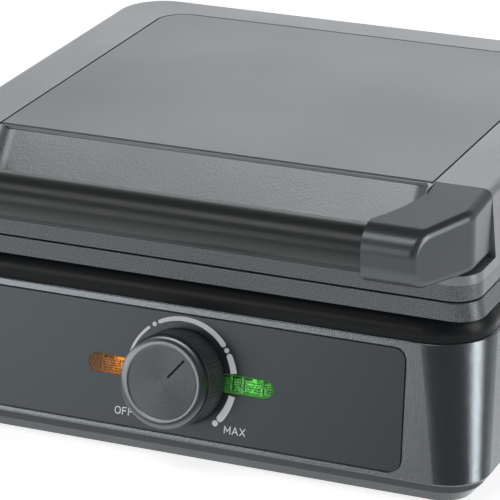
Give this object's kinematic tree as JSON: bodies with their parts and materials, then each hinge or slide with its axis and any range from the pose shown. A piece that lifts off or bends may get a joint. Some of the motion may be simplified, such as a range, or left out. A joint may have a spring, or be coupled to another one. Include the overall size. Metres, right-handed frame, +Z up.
{
  "type": "donut maker",
  "caption": "Hinged contact cooker with ring-shaped moulds, a bar handle across the lid's front, a tilted control panel with a dial and two signal lenses, and rubber feet.",
  "frame": {"origin": "centre of the underside of the bounding box, on the table", "axes": "+Z up, +X to the user's right, the control panel faces -Y"},
  "size_m": [0.2938, 0.2926, 0.1394],
  "materials": {
    "lid_paint": "satin grey lacquer",
    "lid_grain": "satin grey, fine leather grain",
    "arm_gloss": "satin metallic dark grey",
    "soft_grip": "soft-touch coating",
    "rim_plastic": "fine spark texture",
    "collar_gloss": "satin black",
    "shell_metallic": "metallic grey, leather grain",
    "panel_metallic": "satin metallic dark grey",
    "pan_plastic": "fine texture",
    "hinge_plastic": "fine texture",
    "cast_coated": "black non-stick coating",
    "heater_steel": "drawn tube",
    "tray_steel": "bright sheet",
    "pin_steel": "ground",
    "screw_steel": "zinc plated",
    "phenolic": "moulded",
    "amber_clear": "clear faceted amber",
    "green_clear": "clear faceted green",
    "lamp_glass": "clear",
    "rubber_black": "matte",
    "knob_plastic": "fluted",
    "knob_metal": "spun, dark anodised",
    "pointer_black": "filled line"
  },
  "bodies": {
    "base": {"base_shell": "shell_metallic", "control_panel": "panel_metallic", "base_collar": "collar_gloss", "base_rim": "rim_plastic", "lower_plate": "cast_coated", "lower_element": "heater_steel", "lower_element_clips": "heater_steel", "lower_reflector": "tray_steel", "lower_plate_screws": "screw_steel", "thermostat": "phenolic", "thermostat_screws": "screw_steel", "amber_lens": "amber_clear", "green_lens": "green_clear", "amber_lamp": "lamp_glass", "green_lamp": "lamp_glass", "lamp_bracket": "phenolic", "terminal_block": "phenolic", "cord_gland": "rubber_black", "bottom_pan": "pan_plastic", "pan_screws": "screw_steel", "foot_front_left": "rubber_black", "foot_front_right": "rubber_black", "foot_rear_left": "rubber_black", "foot_rear_right": "rubber_black", "hinge_bracket_left": "hinge_plastic", "hinge_bracket_right": "hinge_plastic", "hinge_pin_left": "pin_steel", "hinge_pin_right": "pin_steel", "hinge_screws": "screw_steel"},
    "lid": {"lid_cover": "lid_grain", "lid_top_plate": "lid_paint", "handle_arm_left": "arm_gloss", "handle_arm_right": "arm_gloss", "handle_grip": "soft_grip", "handle_core": "pin_steel", "arm_screws": "screw_steel", "lid_rim": "rim_plastic", "upper_plate": "cast_coated", "upper_element": "heater_steel", "upper_element_clips": "heater_steel", "upper_reflector": "tray_steel", "upper_plate_screws": "screw_steel", "lid_rim_screws": "screw_steel", "thermal_fuse": "phenolic", "hinge_arm_left": "hinge_plastic", "hinge_arm_right": "hinge_plastic"},
    "knob": {"knob_grip": "knob_plastic", "knob_cap": "knob_metal", "knob_pointer": "pointer_black", "thermostat_shaft": "pin_steel"}
  },
  "joints": [
    {"name": "lid_hinge", "type": "hinge", "parent": "base", "child": "lid", "pos_m": [0, 0.1393, 0.095], "axis": [-1, 0, 0], "range_deg": [0, 105]},
    {"name": "dial_turn", "type": "hinge", "parent": "base", "child": "knob", "pos_m": [0, -0.122, 0.042], "axis": [0, -0.9724, 0.2334], "range_deg": [-95, 175]}
  ]
}
